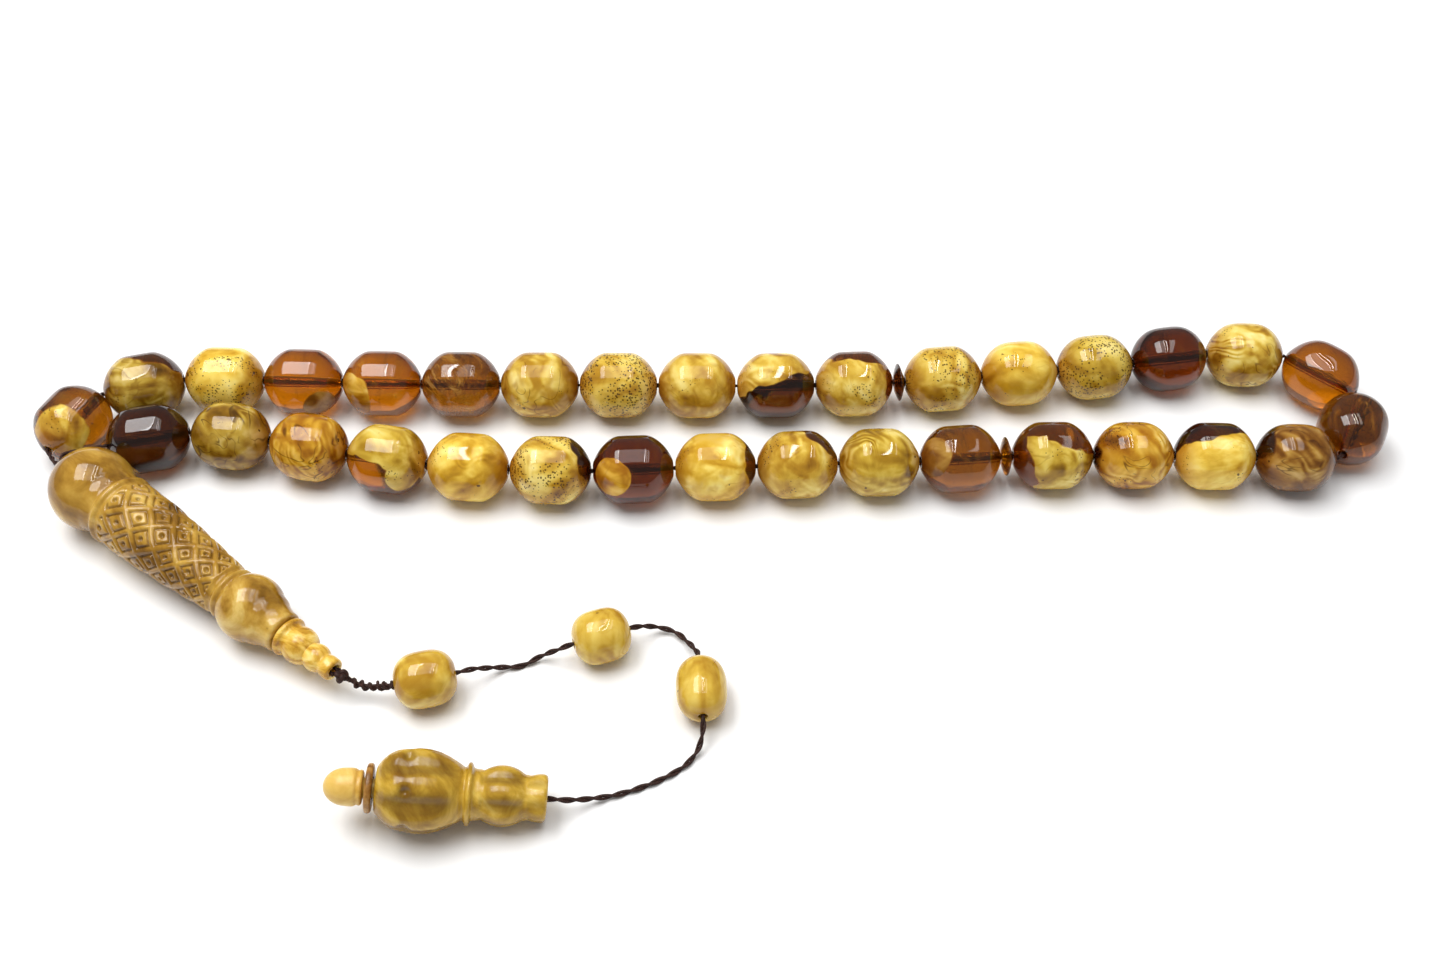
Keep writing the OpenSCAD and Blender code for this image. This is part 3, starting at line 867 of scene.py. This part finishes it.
def make_tip():
    points = [(36.5, 1.5), (39.5, 1.5), (39.5, 2.5), (39.75, 2.8), (40.05, 2.85), (40.3, 2.7),
              (40.45, 2.35), *arc(42.2, 2.6, 58, 138, 12), *arc(45.3, 1.95, 52, 132, 10),
              (46.75, 1.4), (46.95, 1.5), (47.2, 1.6), (48.3, 1.6), (48.55, 1.45), (48.6, 1.2)]
    outline = turned_outline(points, TIP_BORE, step=0.12, passes=2)
    material = carved_resin("tip_resin", PALE_RESIN, seed=620, roughness=0.2, scale=0.3)
    centre, direction = IMAME
    tip = lathe("imame_tip_turned", centre * MM, direction, outline, material, SMALL_SIDES)
    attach(tip, "imame_tip")
    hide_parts("imame_tip")


# ---- pendant ------------------------------------------------------------------------------

PENDANT_RESIN = [(136, 94, 14), (164, 124, 30), (182, 143, 42), (200, 161, 56), (220, 186, 86)]
PLUG_RESIN = [(186, 138, 50), (210, 164, 68), (222, 180, 86), (232, 194, 102), (244, 212, 130)]
WASHER_RESIN = [(72, 40, 8), (122, 80, 26), (150, 102, 42), (168, 122, 58), (188, 146, 82)]
LOBES = 6
LOBE_VALLEY = math.radians(141)  # angle of one of the valleys
PENDANT_SIDES = 180
# Rows of lobes along the pendant: where each starts and ends, and how deep its valleys are.
LOBE_ROWS = [(-4.6, 5.4, 0.68), (7.9, 13.7, 0.52), (13.9, 16.6, 0.24)]
WAIST_AT = -0.9
# A small pit beside each valley, on the larger ball's waist.
PIT_DEPTH, PIT_RADIUS = 0.6, 0.6
PIT_ANGLE = LOBE_VALLEY - math.radians(20.6)


def lobed(station, radius, angle):
    """Soft valleys along the pendant that leave lobes, a shallow waist round its larger ball, and
    the pits in that waist."""
    valley = 0.5 + 0.5 * np.cos(LOBES * (angle - LOBE_VALLEY))
    cut = -0.3 * (0.25 + 0.75 * valley) * np.exp(-((station - WAIST_AT) / 0.9) ** 2)
    across = radius * np.sin(LOBES / 2 * (angle - PIT_ANGLE)) / (LOBES / 2)
    cut -= PIT_DEPTH * np.exp(-((station - WAIST_AT) ** 2 + across ** 2) / PIT_RADIUS ** 2)
    for start, end, depth in LOBE_ROWS:
        place = np.clip((station - start) / (end - start), 0, 1)
        cut -= depth * np.sin(math.pi * place) ** 0.7 * valley ** 1.5
    return cut


def make_pendant():
    points = [(-4.8, 1.5), (-4.8, 2.4), (-4.7, 2.9), (-4.5, 3.2), (-4.1, 3.75), (-3.4, 4.45), (-2.4, 5.02),
              (-1.2, 5.34), (0.2, 5.45), (1.6, 5.38), (2.9, 5.08), (4.1, 4.55), (5.0, 4.0), (5.6, 3.55),
              (5.95, 3.3), (6.15, 3.25), (6.3, 3.6), (6.45, 3.95), (6.85, 3.95), (7, 3.6), (7.15, 3.25),
              (7.7, 3.15), (8.1, 3.2), *arc(10.8, 3.95, 52, 122, 14), (13.6, 2.85), (14.2, 2.8), (14.8, 3),
              (15.4, 3.1), (15.9, 3.1), (16.2, 3), (16.38, 2.7), (16.4, 2.2), (16.4, 1.2)]
    outline = soften(resample(points, 0.14), 2)
    outline = np.vstack([outline, [(16.4, 0.6), (2.6, 0.6), (2.6, 1.5)]])
    material = carved_resin("pendant_resin", PENDANT_RESIN, seed=700, roughness=0.22, scale=0.2, spots=0.6,
                            inside="cut")
    centre, direction = PENDANT
    pendant = lathe("pendant_carved", centre * MM, direction, outline, material, PENDANT_SIDES,
                    relief=lobed)
    add_depth(pendant, outline, PENDANT_SIDES, lobed)
    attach(pendant, "root")
    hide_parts("pendant_body")


def make_washer():
    points = [(-6, 1.5), (-6, 2.7), (-5.9, 3), (-5.7, 3.1),
              (-5.4, 3.1), (-5.2, 3), (-5.1, 2.7), (-5.1, 1.5)]
    outline = soften(resample(points, 0.1), 2)
    material = carved_resin("washer_resin", WASHER_RESIN, seed=720, roughness=0.3, scale=0.4)
    centre, direction = PENDANT
    washer = lathe("pendant_washer_turned", centre * MM, direction, outline, material, SMALL_SIDES)
    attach(washer, "pendant_washer")
    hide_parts("pendant_washer")


PLUG_NOSE = -11.2


def make_plug():
    round_nose = np.radians(np.linspace(4, 90, 16))
    nose = [(PLUG_NOSE + 2.8 * (1 - math.cos(t)), 2.35 * math.sin(t)) for t in round_nose]
    points = [*nose, (-7.6, 2.38), (-7.2, 2.32), (-7.05, 2.12), (-6.9, 2.1), (-6.7, 2.25), (-6.5, 2.22),
              (-6.32, 2.0), (-6.3, 1.25), (-6.2, 1.2), (-2.5, 1.2), (-2.4, 1.0), (-2.4, 0.05)]
    outline = np.vstack([[(PLUG_NOSE, 0.02)], soften(resample(points, 0.14), 2)])
    material = carved_resin("plug_resin", PLUG_RESIN, seed=740, roughness=0.34, scale=0.2)
    centre, direction = PENDANT
    plug = lathe("pendant_plug_turned", centre * MM, direction, outline, material, SMALL_SIDES)
    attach(plug, "pendant_plug")
    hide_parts("pendant_plug")


# ---- the scene ----------------------------------------------------------------------------

make_camera()
make_cords(thread_material())
make_lights()
make_floor()
make_beads()
make_discs()
make_tail_beads()
make_imame()
make_tip()
make_pendant()
make_washer()
make_plug()
